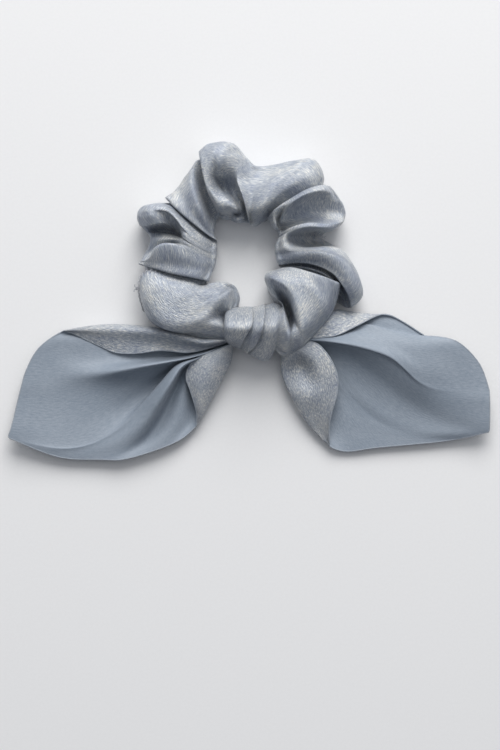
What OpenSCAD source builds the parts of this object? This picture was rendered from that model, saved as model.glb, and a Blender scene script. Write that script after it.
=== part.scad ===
// Gathered satin hair ring with a knotted, two-tailed tie, lying flat on a table.
// Millimetres, +Z up. The origin is on the table, under the middle of the whole outline.

/* [Ring] */
// Distance from the middle of the ring to the middle of the gathered tube
ring_radius = 32; // [30:0.5:34]
// Width of the gathered tube, across the ring
tube_width = 32; // [28:0.5:33]
// Height of the gathered tube above the table
tube_height = 26; // [23:0.5:30]
// Number of gathers round the ring
gather_count = 11; // [7:1:15]
// How far each gather stands out
gather_depth = 1.6; // [0:0.1:2]
// Bulk of the gathered cover fabric
cover_wall = 1.2; // [0.8:0.1:1.6]

/* [Elastic] */
// Width of the flat elastic
elastic_width = 6; // [4:0.5:7]
// Thickness of the flat elastic
elastic_thick = 1; // [0.6:0.1:1.4]
// Length of elastic overlapped where its ends are joined
elastic_overlap = 12; // [8:1:16]

/* [Knot] */
// Length of the knot's wrap, along the tube
wrap_length = 24; // [20:1:25]
// Outer radius of the wrap
wrap_radius = 11.5; // [11.5:0.1:12]
// Bulk of the layers in the wrap
wrap_wall = 2.4; // [1.6:0.2:2.6]
// Number of soft pleats across the wrap
wrap_pleats = 3; // [2:1:4]
// Radius of the cover tube where the knot squeezes it
neck_radius = 6; // [5.4:0.1:6.2]

/* [Tails] */
// Bulk of a tail where it lies flat
tail_thick = 1.4; // [1:0.1:1.6]
// Extra height of a tail where it gathers into the knot
throat_rise = 1.3; // [1:0.1:1.4]
// Height of the pleats that fan out from the knot
pleat_height = 0.6; // [0:0.1:0.6]
// Number of pleats across each tail
pleat_count = 5; // [3:1:7]
// Radius of the rolled hem
hem_radius = 0.8; // [0.5:0.1:0.8]
// Distance from the swing axis to the line where a tail folds up
fold_distance = 32; // [30:1:36]

/* [Thread] */
// Radius of the sewing thread
thread_radius = 0.35; // [0.25:0.05:0.4]
// Radius of the thread knot that ends the closing seam
thread_knot_radius = 1.1; // [0.8:0.1:1.4]

/* [Hidden] */

satin = [0.66, 0.72, 0.79];
satin_deep = [0.55, 0.61, 0.69];
matte_back = [0.52, 0.59, 0.68];
thread_grey = [0.74, 0.78, 0.82];
elastic_white = [0.9, 0.9, 0.88];

// The middle of the hair opening
ring_centre = [0, 17.8];
// The knot's place round the ring, in degrees from +X
knot_angle = 274;
// How much closer to the opening the tube runs inside the knot
knot_pull = 1;
// The wrap sits this much nearer to the opening than the tube's middle
wrap_shift = 1.2;
// Degrees on each side of the knot over which the tube widens again
flare_angle = 55;
// Degrees on each side of the knot over which the tube comes down to the table
lift_angle = 88;
// Where the four stretches of the ring start and end
bottom_arc = [185, 355];
right_arc = [355.5, 420];
top_arc = [60.5, 119.5];
left_arc = [120, 184.5];
// Degrees between the sections of the cover
section_step = 5.5;
// Corners of one section of the cover
section_sides = 16;
// The underside bulges this much past the table before it is flattened on it
flatten = 1.06;

neck_under = wrap_radius - neck_radius;
neck_top = wrap_radius + neck_radius;
knot_radius = ring_radius - knot_pull;
neck_angle = wrap_length / 2 / knot_radius * 180 / PI;
elastic_radius = knot_radius;
wrap_hole = wrap_radius - wrap_wall;
closing_angle = 191;
join_angle = 207;
seam_phi = 200;
seam_gap = 0.3;

// Swing axis, fold direction and free edge of each tail. Both edges run clockwise, seen from above
left_pivot = [-16, -16.5];
left_fold_dir = 203;
left_edge = [
    [-22, -50], [-31, -57.5], [-46, -63.5], [-66, -66.1], [-83, -63.8],
    [-99.6, -57], [-95, -37], [-88, -21], [-77, -13.4], [-60, -12.6]
];
right_pivot = [19.6, -16.5];
right_fold_dir = 340;
right_edge = [
    [58, -12.4], [73, -12.4], [86, -16.8], [94, -26.5], [98.2, -40.5], [98.4, -54],
    [84, -58.5], [66, -60.5], [50, -61], [38, -60.5], [31, -53]
];
pivot_radius = 4.6;
pivot_height = tail_thick + throat_rise + pleat_height;
tail_start = 2;
tail_rows = 9;
rows_per_edge_point = 2;
// Half the gap between the two stretches of a tail at its fold
fold_gap = 0.15;
hem_lift = 0.1;
far = 200;

function clamp01(t) = max(0, min(1, t));
function smooth(t) = let(c = clamp01(t)) c * c * (3 - 2 * c);
function mix(a, b, t) = a + (b - a) * t;
function from_knot(a) = abs(((a - knot_angle + 540) % 360) - 180);
function flare(a) = smooth((from_knot(a) - neck_angle) / (flare_angle - neck_angle));
function settle(a) = smooth(from_knot(a) / lift_angle);

// A point of the cover: round the ring by a, round the tube by phi, inset by d
function cover_point(a, phi, d) =
    let(
        s = flare(a),
        under = neck_under * (1 - settle(a)) + d,
        top = mix(neck_top, tube_height, s) - d,
        gather = gather_depth * s * cos(gather_count * a + 40 * sin(phi)),
        half_w = mix(neck_radius, tube_width / 2, s) + gather - d,
        half_h = (top - under) / 2,
        r = mix(knot_radius, ring_radius, s) + half_w * cos(phi),
        z = (top + under) / 2 + half_h * sin(phi) * (sin(phi) < 0 ? flatten : 1)
    )
    [ring_centre.x + r * cos(a), ring_centre.y + r * sin(a), max(under, z)];

// Two triangles of a quad, wound for a point of view outside it
function quad(a, b, c, d) = [[a, b, c], [a, c, d]];

// One stretch of the gathered cover, hollow and open at both ends
module cover_stretch(arc) {
    n = ceil((arc[1] - arc[0]) / section_step);
    m = section_sides;
    skin = function(d) [
        for (i = [0:n], j = [0:m - 1])
            cover_point(mix(arc[0], arc[1], i / n), 360 * j / m, d)
    ];
    inner = (n + 1) * m;
    at = function(i, j) i * m + j % m;
    faces = [
        for (i = [0:n - 1], j = [0:m - 1]) each concat(
            quad(at(i, j), at(i, j + 1), at(i + 1, j + 1), at(i + 1, j)),
            quad(inner + at(i, j), inner + at(i + 1, j), inner + at(i + 1, j + 1), inner + at(i, j + 1))
        ),
        for (j = [0:m - 1]) each concat(
            quad(at(0, j), inner + at(0, j), inner + at(0, j + 1), at(0, j + 1)),
            quad(at(n, j), at(n, j + 1), inner + at(n, j + 1), inner + at(n, j))
        )
    ];
    color(satin) polyhedron(concat(skin(0), skin(cover_wall)), faces);
}

// A tube of radius r along open points, with flat ends
module thread_along(points, r, sides) {
    n = len(points) - 1;
    ring = function(i)
        let(
            ahead = points[min(i + 1, n)] - points[max(i - 1, 0)],
            t = ahead / norm(ahead),
            across = cross([0, 0, 1], t) / norm(cross([0, 0, 1], t)),
            up = cross(t, across)
        )
        [for (k = [0:sides - 1])
            points[i] + r * (cos(360 * k / sides) * across + sin(360 * k / sides) * up)];
    at = function(i, k) i * sides + k % sides;
    faces = [
        for (i = [0:n - 1], k = [0:sides - 1]) each
            quad(at(i, k), at(i + 1, k), at(i + 1, k + 1), at(i, k + 1)),
        [for (k = [0:sides - 1]) at(0, k)],
        [for (k = [0:sides - 1]) at(n, sides - 1 - k)]
    ];
    polyhedron([for (i = [0:n]) each ring(i)], faces);
}

// The seam that closes the cover strip into a tube, on the inside
module seam_thread(arc) {
    n = ceil((arc[1] - arc[0]) / section_step);
    inset = cover_wall + thread_radius + seam_gap;
    path = [for (i = [0:n]) cover_point(mix(arc[0], arc[1], i / n), seam_phi, inset)];
    color(thread_grey) thread_along(path, thread_radius, 6);
}

// A stretch of flat elastic standing on edge, added thick layers further out
module elastic_layer(arc, layer) {
    inner = elastic_radius - elastic_thick / 2 + layer * elastic_thick;
    translate([ring_centre.x, ring_centre.y, wrap_radius])
        rotate([0, 0, arc[0]])
            rotate_extrude(angle = arc[1] - arc[0], $fn = 96)
                translate([inner, -elastic_width / 2])
                    square([elastic_thick, elastic_width]);
}

module elastic_stretch(arc) {
    color(elastic_white) elastic_layer(arc, 0);
}

join_half = elastic_overlap / elastic_radius * 90 / PI;

module elastic_bottom() {
    color(elastic_white) {
        elastic_layer(bottom_arc, 0);
        elastic_layer([join_angle - join_half, join_angle + join_half], 1);
    }
}

// Zigzag bar-tack over the overlapped ends of the elastic
module elastic_join_stitches() {
    count = 6;
    slant = 8;
    r = elastic_radius + 1.5 * elastic_thick;
    spread = join_half * 0.7;
    color(thread_grey)
        for (i = [0:count - 1])
            translate([ring_centre.x, ring_centre.y, wrap_radius])
                rotate([0, 0, join_angle + spread * (2 * i / (count - 1) - 1)])
                    translate([r, 0, 0])
                        rotate([i % 2 == 0 ? slant : -slant, 0, 0])
                            cylinder(r = thread_radius, h = elastic_width * 0.7, center = true, $fn = 24);
}

// Edge stitches that close the two ends of the cover, round the tube
module closing_stitches() {
    count = 22;
    stitch = 2.2;
    color(thread_grey)
        for (j = [0:count - 1]) {
            p = cover_point(closing_angle, 360 * j / count, 0);
            if (p.z > 2)
                translate(p)
                    rotate([90, 0, closing_angle])
                        cylinder(r = thread_radius, h = stitch, center = true, $fn = 24);
        }
}

// The thread is tied off on the outer side of the ring
module closing_thread_knot() {
    color(thread_grey)
        translate(cover_point(closing_angle - 3, 8, -0.4))
            sphere(r = thread_knot_radius, $fn = 32);
}

// Stands its children on the tube inside the knot, with their Z along the tube
module at_knot() {
    translate([ring_centre.x, ring_centre.y, wrap_radius])
        rotate([0, 0, knot_angle - 270])
            translate([0, wrap_shift - knot_radius, 0])
                rotate([0, 90, 0])
                    children();
}

// Outer radius of the wrap at t from one end (0) to the other (1)
function wrap_outline(t) =
    wrap_radius - 1.3 * pow(abs(2 * t - 1), 4) - 0.8 * pow(1 - abs(sin(180 * wrap_pleats * t)), 2);

// The band of the tie that shows over the tube, with its pleats
module knot_wrap() {
    steps = 24;
    color(satin)
        at_knot()
            rotate_extrude($fn = 72)
                polygon([
                    [wrap_hole, -wrap_length / 2],
                    for (i = [0:steps]) [wrap_outline(i / steps), wrap_length * (i / steps - 0.5)],
                    [wrap_hole, wrap_length / 2]
                ]);
}

// The tie's pass under the tube, from one tail to the other, inside the wrap
module knot_core() {
    spread = 70;
    inner = neck_radius + wrap_shift + 0.4;
    outer = wrap_hole - 0.2;
    color(satin_deep)
        at_knot()
            rotate([0, 0, -spread / 2])
                rotate_extrude(angle = spread, $fn = 72)
                    translate([inner, -wrap_length / 2])
                        square([outer - inner, wrap_length]);
}

// Point t (0 to 1) of the smooth line through a tail's edge points
function edge_point(edge, t) =
    let(
        last = len(edge) - 1,
        i = min(floor(t * last), last - 1),
        u = t * last - i,
        p0 = edge[max(i - 1, 0)], p1 = edge[i], p2 = edge[i + 1], p3 = edge[min(i + 2, last)]
    )
    0.5 * (2 * p1 + (p2 - p0) * u + (2 * p0 - 5 * p1 + 4 * p2 - p3) * u * u
        + (3 * p1 - p0 - 3 * p2 + p3) * u * u * u);

// A whole tail: a sheet with a flat underside whose pleats fan out from the knot
module tail_sheet(pivot, edge) {
    columns = rows_per_edge_point * (len(edge) - 1);
    place = function(i, j)
        let(rim = edge_point(edge, j / columns) - pivot)
        pivot + rim / norm(rim) * mix(tail_start, norm(rim), i / tail_rows);
    height = function(i, j)
        let(near = 1 - i / tail_rows)
        tail_thick + throat_rise * pow(near, 6)
            + pleat_height * near * (0.5 - 0.5 * cos(360 * pleat_count * j / columns));
    flat_skin = [for (i = [0:tail_rows], j = [0:columns]) [each place(i, j), 0]];
    top_skin = [for (i = [0:tail_rows], j = [0:columns]) [each place(i, j), height(i, j)]];
    w = columns + 1;
    up = len(flat_skin);
    side = function(a, b) quad(a, b, up + b, up + a);
    faces = [
        for (i = [0:tail_rows - 1], j = [0:columns - 1])
            let(a = i * w + j, b = a + 1, c = a + w + 1, d = a + w) each concat(
                quad(a, b, c, d),
                quad(up + a, up + d, up + c, up + b)
            ),
        for (j = [0:columns - 1]) each concat(
            side(j + 1, j),
            side(tail_rows * w + j, tail_rows * w + j + 1)
        ),
        for (i = [0:tail_rows - 1]) each concat(
            side(i * w, (i + 1) * w),
            side((i + 1) * w + columns, i * w + columns)
        )
    ];
    polyhedron(concat(flat_skin, top_skin), faces);
}

// Keeps what is nearer to the swing axis than the fold line (part -1) or past it (part 1)
module split_at_fold(pivot, dir, part) {
    reach = fold_distance + part * fold_gap;
    intersection() {
        children();
        translate(pivot)
            rotate([0, 0, dir])
                translate([part > 0 ? reach : reach - far, -far / 2, -1])
                    cube([far, far, 20]);
    }
}

module tail_inner(pivot, dir, edge) {
    color(matte_back) {
        split_at_fold(pivot, dir, -1) tail_sheet(pivot, edge);
        translate(pivot)
            cylinder(r = pivot_radius, h = pivot_height, $fn = 48);
    }
}

module tail_outer(pivot, dir, edge) {
    color(matte_back)
        split_at_fold(pivot, dir, 1) tail_sheet(pivot, edge);
}

// The rolled hem on the free edge of a tail
module hem(pivot, dir, edge, part) {
    columns = rows_per_edge_point * (len(edge) - 1);
    path = [
        for (j = [0:columns]) [each edge_point(edge, j / columns), hem_radius + hem_lift]
    ];
    color(thread_grey)
        split_at_fold(pivot, dir, part) thread_along(path, hem_radius, 8);
}

module cover_bottom() { cover_stretch(bottom_arc); }
module cover_left() { cover_stretch(left_arc); }
module cover_right() { cover_stretch(right_arc); }
module cover_top() { cover_stretch(top_arc); }

cover_bottom();
cover_left();
cover_right();
cover_top();
elastic_bottom();
elastic_stretch(left_arc);  // elastic_left
elastic_stretch(right_arc);  // elastic_right
elastic_stretch(top_arc);  // elastic_top
seam_thread(bottom_arc);  // seam_thread_bottom
seam_thread(left_arc);  // seam_thread_left
seam_thread(right_arc);  // seam_thread_right
seam_thread(top_arc);  // seam_thread_top
elastic_join_stitches();
closing_stitches();
closing_thread_knot();
knot_wrap();
knot_core();
tail_inner(left_pivot, left_fold_dir, left_edge);  // tail_left_inner
tail_outer(left_pivot, left_fold_dir, left_edge);  // tail_left_outer
tail_inner(right_pivot, right_fold_dir, right_edge);  // tail_right_inner
tail_outer(right_pivot, right_fold_dir, right_edge);  // tail_right_outer
hem(left_pivot, left_fold_dir, left_edge, -1);  // hem_left_inner
hem(left_pivot, left_fold_dir, left_edge, 1);  // hem_left_outer
hem(right_pivot, right_fold_dir, right_edge, -1);  // hem_right_inner
hem(right_pivot, right_fold_dir, right_edge, 1);  // hem_right_outer
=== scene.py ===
import math

import bpy
import numpy as np
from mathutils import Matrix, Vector, noise


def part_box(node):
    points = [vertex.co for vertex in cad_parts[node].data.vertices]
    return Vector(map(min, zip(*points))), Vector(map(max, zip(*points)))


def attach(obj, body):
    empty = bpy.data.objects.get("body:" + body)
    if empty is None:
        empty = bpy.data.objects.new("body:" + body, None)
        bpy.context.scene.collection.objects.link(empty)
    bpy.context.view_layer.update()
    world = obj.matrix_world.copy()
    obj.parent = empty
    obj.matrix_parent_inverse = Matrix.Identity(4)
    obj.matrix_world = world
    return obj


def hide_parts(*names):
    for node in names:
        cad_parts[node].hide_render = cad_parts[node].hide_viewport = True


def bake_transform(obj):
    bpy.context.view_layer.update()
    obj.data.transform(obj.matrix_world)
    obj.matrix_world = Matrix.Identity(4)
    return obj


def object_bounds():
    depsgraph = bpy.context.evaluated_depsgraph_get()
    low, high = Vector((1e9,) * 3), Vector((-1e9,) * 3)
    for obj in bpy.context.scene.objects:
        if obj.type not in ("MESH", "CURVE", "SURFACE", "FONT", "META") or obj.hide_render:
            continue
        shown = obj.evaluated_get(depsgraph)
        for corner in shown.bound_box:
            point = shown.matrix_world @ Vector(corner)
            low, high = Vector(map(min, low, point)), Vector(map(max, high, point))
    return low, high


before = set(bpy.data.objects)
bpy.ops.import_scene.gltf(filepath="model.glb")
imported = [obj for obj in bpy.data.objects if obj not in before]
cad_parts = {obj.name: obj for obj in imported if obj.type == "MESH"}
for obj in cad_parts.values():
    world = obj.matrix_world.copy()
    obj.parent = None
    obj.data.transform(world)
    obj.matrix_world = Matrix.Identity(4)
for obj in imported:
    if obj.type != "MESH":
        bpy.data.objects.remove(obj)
cad_low, cad_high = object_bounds()
MM = 0.001
scene = bpy.context.scene

# ---------------------------------------------------------------- camera and light
CENTRE = (cad_low + cad_high) / 2
VIEW_HEIGHT = 1.0
VIEW_LONG_SIDE = 0.3125
# The photo is framed a little off the middle of the part.
VIEW_SHIFT = (0.0005, -0.0302)
SKY_DIRECTION = (0.1, 0.62, 0.78)
SKY_STRENGTH = 0.62
WINDOW_PLACE = (0.14, 1.2, 0.98)
WINDOW_SIZE = 1.15
WINDOW_POWER = 24.6
WINDOW_COLOUR = (1.0, 0.985, 0.965)


def make_camera():
    data = bpy.data.cameras.new("camera")
    cam = bpy.data.objects.new("camera", data)
    scene.collection.objects.link(cam)
    level = cad_high.z * 0.4
    cam.location = (CENTRE.x + VIEW_SHIFT[0], CENTRE.y + VIEW_SHIFT[1], level + VIEW_HEIGHT)
    cam.rotation_euler = (0, 0, 0)
    data.sensor_width = 36
    data.lens = 36 * VIEW_HEIGHT / VIEW_LONG_SIDE
    data.clip_start, data.clip_end = 0.05, 20
    data.dof.use_dof = False
    scene.camera = cam


def area_light(name, place, target, size, power, colour):
    data = bpy.data.lights.new(name, "AREA")
    data.shape = "DISK"
    data.size = size
    data.energy = power
    data.color = colour
    light = bpy.data.objects.new(name, data)
    scene.collection.objects.link(light)
    light.location = place
    aim = Vector(target) - Vector(place)
    light.rotation_euler = aim.to_track_quat("-Z", "Y").to_euler()


def make_lights():
    """Daylight from a broad window beyond the top of the picture, a little to the right."""
    world = bpy.data.worlds.new("world")
    scene.world = world
    world.use_nodes = True
    tree = world.node_tree
    coords = add(tree, "ShaderNodeTexCoord")
    facing = add(tree, "ShaderNodeVectorMath", operation="DOT_PRODUCT")
    facing.inputs[1].default_value = SKY_DIRECTION
    tree.links.new(coords.outputs["Generated"], facing.inputs[0])
    shift = add(tree, "ShaderNodeMath", operation="MULTIPLY_ADD")
    shift.inputs[1].default_value = 0.5
    shift.inputs[2].default_value = 0.5
    tree.links.new(facing.outputs["Value"], shift.inputs[0])
    stops = [(0.35, (0.04, 0.05, 0.07)), (0.66, (0.3, 0.32, 0.36)), (0.95, (1.1, 1.11, 1.13))]
    sky = ramp(tree, shift.outputs[0], stops)
    tree.links.new(sky.outputs["Color"], tree.nodes["Background"].inputs["Color"])
    tree.nodes["Background"].inputs["Strength"].default_value = SKY_STRENGTH
    area_light("window", WINDOW_PLACE, CENTRE, WINDOW_SIZE, WINDOW_POWER, WINDOW_COLOUR)
    scene.view_settings.view_transform = "Standard"


# ---------------------------------------------------------------- splines and lofts
def segment_tangents(points, closed):
    """The start and end tangents of each centripetal Catmull-Rom segment along axis 0."""
    if closed:
        before = np.roll(points, 1, 0)
        after = np.roll(points, -1, 0)
        after2 = np.roll(points, -2, 0)
        here = points
    else:
        first = 2 * points[:1] - points[1:2]
        last = 2 * points[-1:] - points[-2:-1]
        padded = np.concatenate([first, points, last])
        before, here, after, after2 = padded[:-3], padded[1:-2], padded[2:-1], padded[3:]

    def gap(a, b):
        return np.maximum(np.linalg.norm(b - a, axis=-1, keepdims=True), 1e-6) ** 0.5

    g0, g1, g2 = gap(before, here), gap(here, after), gap(after, after2)
    start = g1 * ((here - before) / g0 - (after - before) / (g0 + g1) + (after - here) / g1)
    end = g1 * ((after - here) / g1 - (after2 - here) / (g1 + g2) + (after2 - after) / g2)
    return here, after, start, end


def spline(points, steps, closed=False):
    """Samples the spline through points along axis 0, with steps[i] samples in segment i."""
    here, after, start, end = segment_tangents(points, closed)
    out = []
    for i, n in enumerate(steps):
        for t in np.arange(n) / n:
            a, b = 2 * t**3 - 3 * t**2 + 1, t**3 - 2 * t**2 + t
            c, d = 3 * t**2 - 2 * t**3, t**3 - t**2
            out.append(a * here[i] + b * start[i] + c * after[i] + d * end[i])
    if not closed:
        out.append(points[-1])
    return np.array(out)


def resample(line, count):
    """The smooth line through a few points, as count points evenly spaced along it."""
    line = np.array(line, float)
    dense = spline(line, [24] * (len(line) - 1))
    along = np.concatenate([[0], np.cumsum(np.linalg.norm(np.diff(dense, axis=0), axis=1))])
    at = np.linspace(0, along[-1], count)
    return np.stack([np.interp(at, along, dense[:, k]) for k in range(3)], 1)


def step_counts(net, pitch, closed, least=2):
    after = np.roll(net, -1, 0) if closed else net[1:]
    here = net if closed else net[:-1]
    chord = np.linalg.norm(after - here, axis=-1).mean(axis=1)
    return [max(least, int(round(c / pitch))) for c in chord]


def relax(grid, rounds, closed):
    """Eases a grid of points, keeping its open edges."""
    for _ in range(rounds):
        mid = grid.copy()
        mid[:, 1:-1] = grid[:, 1:-1] * 0.5 + (grid[:, :-2] + grid[:, 2:]) * 0.25
        if closed:
            mid = mid * 0.5 + (np.roll(mid, 1, 0) + np.roll(mid, -1, 0)) * 0.25
        else:
            mid[1:-1] = mid[1:-1] * 0.5 + (mid[:-2] + mid[2:]) * 0.25
        grid = mid
    return grid


def lengths(grid, axis):
    """How far along the cloth each row or column of a grid lies, on average."""
    steps = np.linalg.norm(np.diff(grid, axis=axis), axis=-1).mean(axis=1 - axis)
    return np.concatenate([[0], np.cumsum(steps)])


def grid_normals(grid):
    du = np.gradient(grid, axis=0)
    dv = np.gradient(grid, axis=1)
    n = np.cross(du, dv)
    return n / np.maximum(np.linalg.norm(n, axis=-1, keepdims=True), 1e-9)


def ripple(grid, strength, across, along, seed):
    """Small soft wrinkles: noise that is long across the strip and short along it, in millimetres."""
    u, v = lengths(grid, 0), lengths(grid, 1)
    normals = grid_normals(grid)
    spacing = np.linalg.norm(np.gradient(grid, axis=0), axis=-1)
    ease = np.clip(spacing / spacing.mean(), 0, 1) ** 2
    lift = ease * np.array(
        [[noise.noise(Vector((a / along, b / across, seed))) for b in v] for a in u]
    )
    return grid + normals * (lift * strength)[..., None]


def new_object(name, verts, faces, uvs, materials, indices=None):
    mesh = bpy.data.meshes.new(name)
    mesh.from_pydata([tuple(p * MM) for p in verts], [], [tuple(map(int, f)) for f in faces])
    for m in materials:
        mesh.materials.append(m)
    if uvs is not None:
        layer = mesh.uv_layers.new(name="cloth")
        loops = np.zeros(len(mesh.loops), np.int32)
        mesh.loops.foreach_get("vertex_index", loops)
        layer.data.foreach_set("uv", np.asarray(uvs, np.float32)[loops].ravel())
    if indices is not None:
        mesh.polygons.foreach_set("material_index", np.asarray(indices, np.int32))
    mesh.polygons.foreach_set("use_smooth", np.ones(len(mesh.polygons), bool))
    mesh.update()
    obj = bpy.data.objects.new(name, mesh)
    scene.collection.objects.link(obj)
    return obj


def grid_faces(rows, columns):
    base = np.arange(rows * columns).reshape(rows, columns)
    return np.stack(
        [base[:-1, :-1], base[1:, :-1], base[1:, 1:], base[:-1, 1:]], -1
    ).reshape(-1, 4)


def cloth_uv(grid):
    """Flat coordinates of the cloth, where 1 is 100 mm along the strip and across it."""
    u, v = lengths(grid, 0) / 100, lengths(grid, 1) / 100
    return np.stack(np.meshgrid(u, v, indexing="ij"), -1).reshape(-1, 2)


# ---------------------------------------------------------------- materials
def nodes_of(name):
    mat = bpy.data.materials.new(name)
    mat.use_nodes = True
    tree = mat.node_tree
    return mat, tree, tree.nodes["Principled BSDF"]


def add(tree, kind, **values):
    node = tree.nodes.new(kind)
    for key, value in values.items():
        setattr(node, key, value)
    return node


def stretched_noise(tree, across, along, detail, roughness=0.6):
    """Noise whose grains are `along` mm long down the strip and `across` mm wide."""
    coords = add(tree, "ShaderNodeTexCoord")
    mapping = add(tree, "ShaderNodeMapping")
    mapping.inputs["Scale"].default_value = (100 / along, 100 / across, 1)
    texture = add(tree, "ShaderNodeTexNoise")
    texture.inputs["Scale"].default_value = 1.0
    texture.inputs["Detail"].default_value = detail
    texture.inputs["Roughness"].default_value = roughness
    tree.links.new(coords.outputs["UV"], mapping.inputs["Vector"])
    tree.links.new(mapping.outputs["Vector"], texture.inputs["Vector"])
    return texture


def ramp(tree, source, stops):
    node = add(tree, "ShaderNodeValToRGB")
    while len(node.color_ramp.elements) < len(stops):
        node.color_ramp.elements.new(0.5)
    for element, (place, colour) in zip(node.color_ramp.elements, stops):
        element.position = place
        element.color = (*colour, 1)
    tree.links.new(source, node.inputs["Fac"])
    return node


def bump(tree, source, distance, strength, below=None):
    node = add(tree, "ShaderNodeBump")
    node.inputs["Strength"].default_value = strength
    node.inputs["Distance"].default_value = distance * MM
    tree.links.new(source, node.inputs["Height"])
    if below:
        tree.links.new(below.outputs["Normal"], node.inputs["Normal"])
    return node


def satin(
    name, dark, middle, light, rough, metal, streak_depth, crease_depth, specular, spread=0.1
):
    """Slubbed cloth: fine streaks along the strip, a finer crepe, and soft creases across it; the streak colour is
    the cloth's slubs with painted highlight in its pale warm stop and painted shade in its bluish dark stop.
    """
    mat, tree, shader = nodes_of(name)
    slub_and_sheen_streaks = stretched_noise(tree, 0.38, 1.9, 4, 0.66)
    crepe = stretched_noise(tree, 0.32, 0.6, 2)
    creases = stretched_noise(tree, 7.0, 2.0, 3)
    tone = stretched_noise(tree, 12, 18, 2)
    mix = add(tree, "ShaderNodeMath", operation="MULTIPLY_ADD")
    mix.inputs[1].default_value = 0.7
    tree.links.new(slub_and_sheen_streaks.outputs["Fac"], mix.inputs[0])
    part = add(tree, "ShaderNodeMath", operation="MULTIPLY")
    part.inputs[1].default_value = 0.3
    tree.links.new(tone.outputs["Fac"], part.inputs[0])
    tree.links.new(part.outputs[0], mix.inputs[2])
    # painted light: the pale warm stop paints satin highlights onto the slub streaks and the bluish dark stop paints
    # shade
    colour = ramp(tree, mix.outputs[0], [(0.385, dark), (0.5, middle), (0.615, light)])
    tree.links.new(colour.outputs["Color"], shader.inputs["Base Color"])
    gloss_stops = [(0.35, (rough + spread,) * 3), (0.65, (rough - spread,) * 3)]
    gloss = ramp(tree, crepe.outputs["Fac"], gloss_stops)
    tree.links.new(gloss.outputs["Color"], shader.inputs["Roughness"])
    shader.inputs["Specular IOR Level"].default_value = specular
    shader.inputs["Metallic"].default_value = metal
    shader.inputs["Sheen Weight"].default_value = 0.1
    shader.inputs["Sheen Roughness"].default_value = 0.4
    fine = bump(tree, crepe.outputs["Fac"], 0.14, streak_depth)
    streaks = bump(tree, slub_and_sheen_streaks.outputs["Fac"], 0.2, streak_depth, fine)
    folds = bump(tree, creases.outputs["Fac"], 1.0, crease_depth, streaks)
    tree.links.new(folds.outputs["Normal"], shader.inputs["Normal"])
    return mat


def thread(name, colour, rough=0.6):
    mat, tree, shader = nodes_of(name)
    twist = stretched_noise(tree, 2.0, 0.6, 2)
    pale = tuple(min(1, c * 1.35) for c in colour)
    tint = ramp(tree, twist.outputs["Fac"], [(0.35, colour), (0.65, pale)])
    tree.links.new(tint.outputs["Color"], shader.inputs["Base Color"])
    shader.inputs["Roughness"].default_value = rough
    shader.inputs["Sheen Weight"].default_value = 0.2
    relief = bump(tree, twist.outputs["Fac"], 0.15, 0.6)
    tree.links.new(relief.outputs["Normal"], shader.inputs["Normal"])
    return mat


def floor_material():
    mat, tree, shader = nodes_of("floor_paper")
    coords = add(tree, "ShaderNodeTexCoord")
    grain = add(tree, "ShaderNodeTexNoise")
    grain.inputs["Scale"].default_value = 900
    tree.links.new(coords.outputs["Object"], grain.inputs["Vector"])
    stops = [(0.3, (0.815, 0.82, 0.83)), (0.7, (0.83, 0.835, 0.845))]
    tint = ramp(tree, grain.outputs["Fac"], stops)
    tree.links.new(tint.outputs["Color"], shader.inputs["Base Color"])
    shader.inputs["Roughness"].default_value = 0.85
    shader.inputs["Specular IOR Level"].default_value = 0.2
    return mat


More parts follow.
